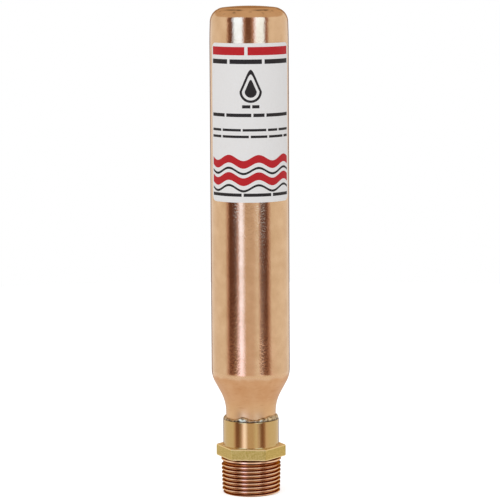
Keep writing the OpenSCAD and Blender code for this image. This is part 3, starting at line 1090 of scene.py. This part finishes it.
floor_material = bpy.data.materials.new("pale_floor")
floor_material.use_nodes = True
tree = floor_material.node_tree
tree.nodes.clear()
camera_ray = add_node(tree, "ShaderNodeLightPath", out="Is Camera Ray")
from_below = add_node(tree, "ShaderNodeNewGeometry", out="Backfacing")
card = add_node(tree, "ShaderNodeBsdfDiffuse", {"Color": linear("#ececec")})
lift = add_node(tree, "ShaderNodeMath", {0: camera_ray, 1: FLOOR_LIFT}, operation="MULTIPLY")
glow = add_node(tree, "ShaderNodeEmission", {"Strength": lift})
pale = add_node(tree, "ShaderNodeAddShader", {0: card, 1: glow})
clear = add_node(tree, "ShaderNodeBsdfTransparent")
sided = add_node(tree, "ShaderNodeMixShader", {0: from_below, 1: pale, 2: clear})
add_node(tree, "ShaderNodeOutputMaterial", {"Surface": sided})
floor_mesh.materials.append(floor_material)
print(f"floor {2 * FLOOR_R * MM:.1f} m across")

# %% [markdown]
# ## The studio
# A polished tube has no look of its own: it shows the room. This room has white walls, tall cool light
# panels, and dark gaps between them, which become the stripes along the tube. The world draws it by
# direction: a colour ramp goes round the room at the height of the label, one below it, and one at
# the foot, where the brass is.
# The upper panels lean over the part, so their directions are turned back by that lean before
# they are read. The back wall is brown, which gives the crown its tone.
# Camera rays see plain white, which is the backdrop. Rays that leave a metal or pass
# a clear surface see the room, and the rest get its even light.

# %% Lay out the room
# How bright red, green and blue are in linear light, where 1 is the backdrop's white
PANEL_PEAK = 3.7
WALL_TONE = (1.0, 0.97, 0.95)
SIDE_TONE = (0.95, 0.92, 0.89)
EDGE_TONE = (0.60, 0.38, 0.33)
PANEL_TONE = (1.42, 2.15, 3.6)
WARM_PANEL_TONE = (1.44, 2.08, 3.2)
SOFT_PANEL_TONE = (1.45, 1.72, 2.65)
DEEP_GAP_TONE = (0.14, 0.06, 0.042)
GAP_TONE = (0.21, 0.105, 0.075)
PALE_GAP_TONE = (0.42, 0.22, 0.17)
FOOT_PANEL_TONE = (2.0, 1.9, 3.0)
DIM_TONE = (0.82, 0.72, 0.67)
RED_DIM_TONE = (0.86, 0.68, 0.63)
RED_WALL_TONE = (1.03, 0.85, 0.87)
GLOW_TONE = (1.2, 1.08, 1.2)
CEILING_TONE = (0.78, 0.62, 0.48)
BACK_TONE = (0.45, 0.28, 0.14)
FLOOR_TONE = (0.94, 0.88, 0.82)

# Degrees round the room, from the camera towards the right
BACK_LEFT = [(-172, GAP_TONE), (-160, GAP_TONE), (-153, WALL_TONE)]
BACK_RIGHT = [(153, WALL_TONE), (160, GAP_TONE), (172, GAP_TONE)]
UPPER_ROOM = [
    (-180, WALL_TONE), *BACK_LEFT, (-71, WALL_TONE),
    (-66, EDGE_TONE), (-61, GAP_TONE), (-53, GAP_TONE), (-43, PANEL_TONE), (-23, PANEL_TONE),
    (-15, EDGE_TONE), (-9, GAP_TONE), (4, GAP_TONE), (12, EDGE_TONE), (19, SOFT_PANEL_TONE),
    (23, WARM_PANEL_TONE), (42, WARM_PANEL_TONE), (51, PALE_GAP_TONE), (54, PALE_GAP_TONE),
    (61, WALL_TONE), *BACK_RIGHT, (180, WALL_TONE),
]
LOWER_ROOM = [
    (-180, SIDE_TONE), *BACK_LEFT, (-100, WALL_TONE),
    (-78, SIDE_TONE), (-69, EDGE_TONE), (-62, DEEP_GAP_TONE), (-42, DEEP_GAP_TONE), (-36, EDGE_TONE),
    (-29, SOFT_PANEL_TONE), (-23, SOFT_PANEL_TONE), (-14, DIM_TONE), (8, DIM_TONE), (24, SIDE_TONE),
    (28, EDGE_TONE), (33, DEEP_GAP_TONE), (50, DEEP_GAP_TONE), (57, EDGE_TONE), (65, SIDE_TONE),
    (100, WALL_TONE), *BACK_RIGHT, (180, SIDE_TONE),
]
FOOT_ROOM = [
    (-180, SIDE_TONE), *BACK_LEFT, (-82, WALL_TONE),
    (-72, RED_DIM_TONE), (-64, PALE_GAP_TONE), (-52, PALE_GAP_TONE), (-43, RED_DIM_TONE),
    (-31, FOOT_PANEL_TONE), (-26, FOOT_PANEL_TONE), (-12, RED_DIM_TONE), (8, RED_DIM_TONE),
    (20, WALL_TONE), (34, GLOW_TONE), (41, EDGE_TONE), (46, PALE_GAP_TONE), (58, PALE_GAP_TONE),
    (67, RED_WALL_TONE), (90, WALL_TONE), *BACK_RIGHT, (180, SIDE_TONE),
]
print("tones round the room, from the top down:", len(UPPER_ROOM), len(LOWER_ROOM), len(FOOT_ROOM))

# %% Build the room that the metal mirrors
# Degrees above the horizon over which one part of the room gives way to the next
FOOT_SIGHT = (-10.7, -10.3)
LABEL_SIGHT = (-5.5, -3.5)
FLOOR_SIGHT = (-13, -18)
CEILING_SIGHT = (29, 34)
BACK_SIGHT = (-1, 1)
# The same, but above the upright plane through the axis that faces the camera
BACK_TURN = (60, 72)
PANEL_LEAN = math.radians(14.5)


def room_colour(tones):
    """A tone of the room as a share of its peak, so that a ramp's colours stay below 1."""
    return (*(tone / PANEL_PEAK for tone in tones), 1.0)


def ramp_stops(room):
    """A room as the stops of a colour ramp, from 0 at the back's left to 1 at its right."""
    return [((degrees + 180) / 360, room_colour(tones)) for degrees, tones in room]


world = bpy.data.worlds.new("studio")
scene.world = world
world.use_nodes = True
tree = world.node_tree
tree.nodes.clear()
sight = add_node(tree, "ShaderNodeTexCoord", out="Generated")
leaning_sight = add_node(tree, "ShaderNodeVectorRotate", {"Vector": sight, "Angle": PANEL_LEAN},
                         rotation_type="X_AXIS")
axes = add_node(tree, "ShaderNodeSeparateXYZ", {"Vector": sight}).node.outputs
leaning = add_node(tree, "ShaderNodeSeparateXYZ", {"Vector": leaning_sight}).node.outputs
rings = []
for directions, room_stops in ((axes, FOOT_ROOM), (axes, LOWER_ROOM), (leaning, UPPER_ROOM)):
    forward = add_node(tree, "ShaderNodeMath", {0: directions["Y"], 1: -1.0}, operation="MULTIPLY")
    round_room = add_node(tree, "ShaderNodeMath", {0: directions["X"], 1: forward}, operation="ARCTAN2")
    along = add_node(tree, "ShaderNodeMapRange", {
        "Value": round_room, "From Min": -math.pi, "From Max": math.pi,
    })
    rings.append(add_node(tree, "ShaderNodeValToRGB", {"Fac": along}, stops=ramp_stops(room_stops)))
fades = []
for value, angles in (
    (axes["Z"], FOOT_SIGHT), (axes["Z"], LABEL_SIGHT), (axes["Y"], BACK_TURN), (axes["Z"], BACK_SIGHT),
    (leaning["Z"], CEILING_SIGHT), (axes["Z"], FLOOR_SIGHT),
):
    first, second = (math.sin(math.radians(degrees)) for degrees in angles)
    fades.append(add_node(tree, "ShaderNodeMapRange", {
        "Value": value, "From Min": first, "From Max": second,
    }, interpolation_type="SMOOTHSTEP"))
above_foot, above_label, turned_back, over_horizon, near_ceiling, near_floor = fades
at_back = add_node(tree, "ShaderNodeMath", {0: turned_back, 1: over_horizon}, operation="MULTIPLY")

room = rings[0]
for share, colour in (
    (above_foot, rings[1]),
    (above_label, rings[2]),
    (at_back, room_colour(BACK_TONE)),
    (near_ceiling, room_colour(CEILING_TONE)),
    (near_floor, room_colour(FLOOR_TONE)),
):
    room = add_node(tree, "ShaderNodeMix", {
        FACTOR: share, COLOUR_A: room, COLOUR_B: colour,
    }, data_type="RGBA")
print("the room has", len(rings), "rings and", len(fades), "fades")

# %% Send each kind of ray to its own background
EVEN_LIGHT = 0.86

rays = add_node(tree, "ShaderNodeLightPath").node.outputs
backdrop = add_node(tree, "ShaderNodeBackground", {"Color": linear("#ffffff"), "Strength": 1.0})
mirrored = add_node(tree, "ShaderNodeBackground", {"Color": room, "Strength": PANEL_PEAK})
even = add_node(tree, "ShaderNodeBackground", {"Color": linear("#ffffff"), "Strength": EVEN_LIGHT})
sees_room = add_node(tree, "ShaderNodeMath", {
    0: rays["Is Glossy Ray"], 1: rays["Is Transmission Ray"],
}, operation="MAXIMUM")
lit = add_node(tree, "ShaderNodeMixShader", {0: sees_room, 1: even, 2: mirrored})
seen = add_node(tree, "ShaderNodeMixShader", {0: rays["Is Camera Ray"], 1: lit, 2: backdrop})
add_node(tree, "ShaderNodeOutputWorld", {"Surface": seen})
print("backdrop white, even light", EVEN_LIGHT)

# %% [markdown]
# One large soft lamp in front and to the left gives the label its gentle shading and the floor its
# shadow. It is kept out of the mirrors, because the room already has its panels.

# %% Hang the lamp
LAMP_SIZE = 0.9
LAMP_POWER = 4
LAMP_PLACE = Vector((-0.5, -1.3, 1.1))

lamp_data = bpy.data.lights.new("soft_lamp", "AREA")
lamp_data.size = LAMP_SIZE
lamp_data.energy = LAMP_POWER
lamp = bpy.data.objects.new("soft_lamp", lamp_data)
lamp.location = LAMP_PLACE
lamp.rotation_mode = "QUATERNION"
lamp.rotation_quaternion = (CAMERA_AIM - LAMP_PLACE).to_track_quat("-Z", "Y")
lamp.visible_glossy = False
scene.collection.objects.link(lamp)
print(f"lamp of {LAMP_POWER} W, {LAMP_SIZE} m wide")
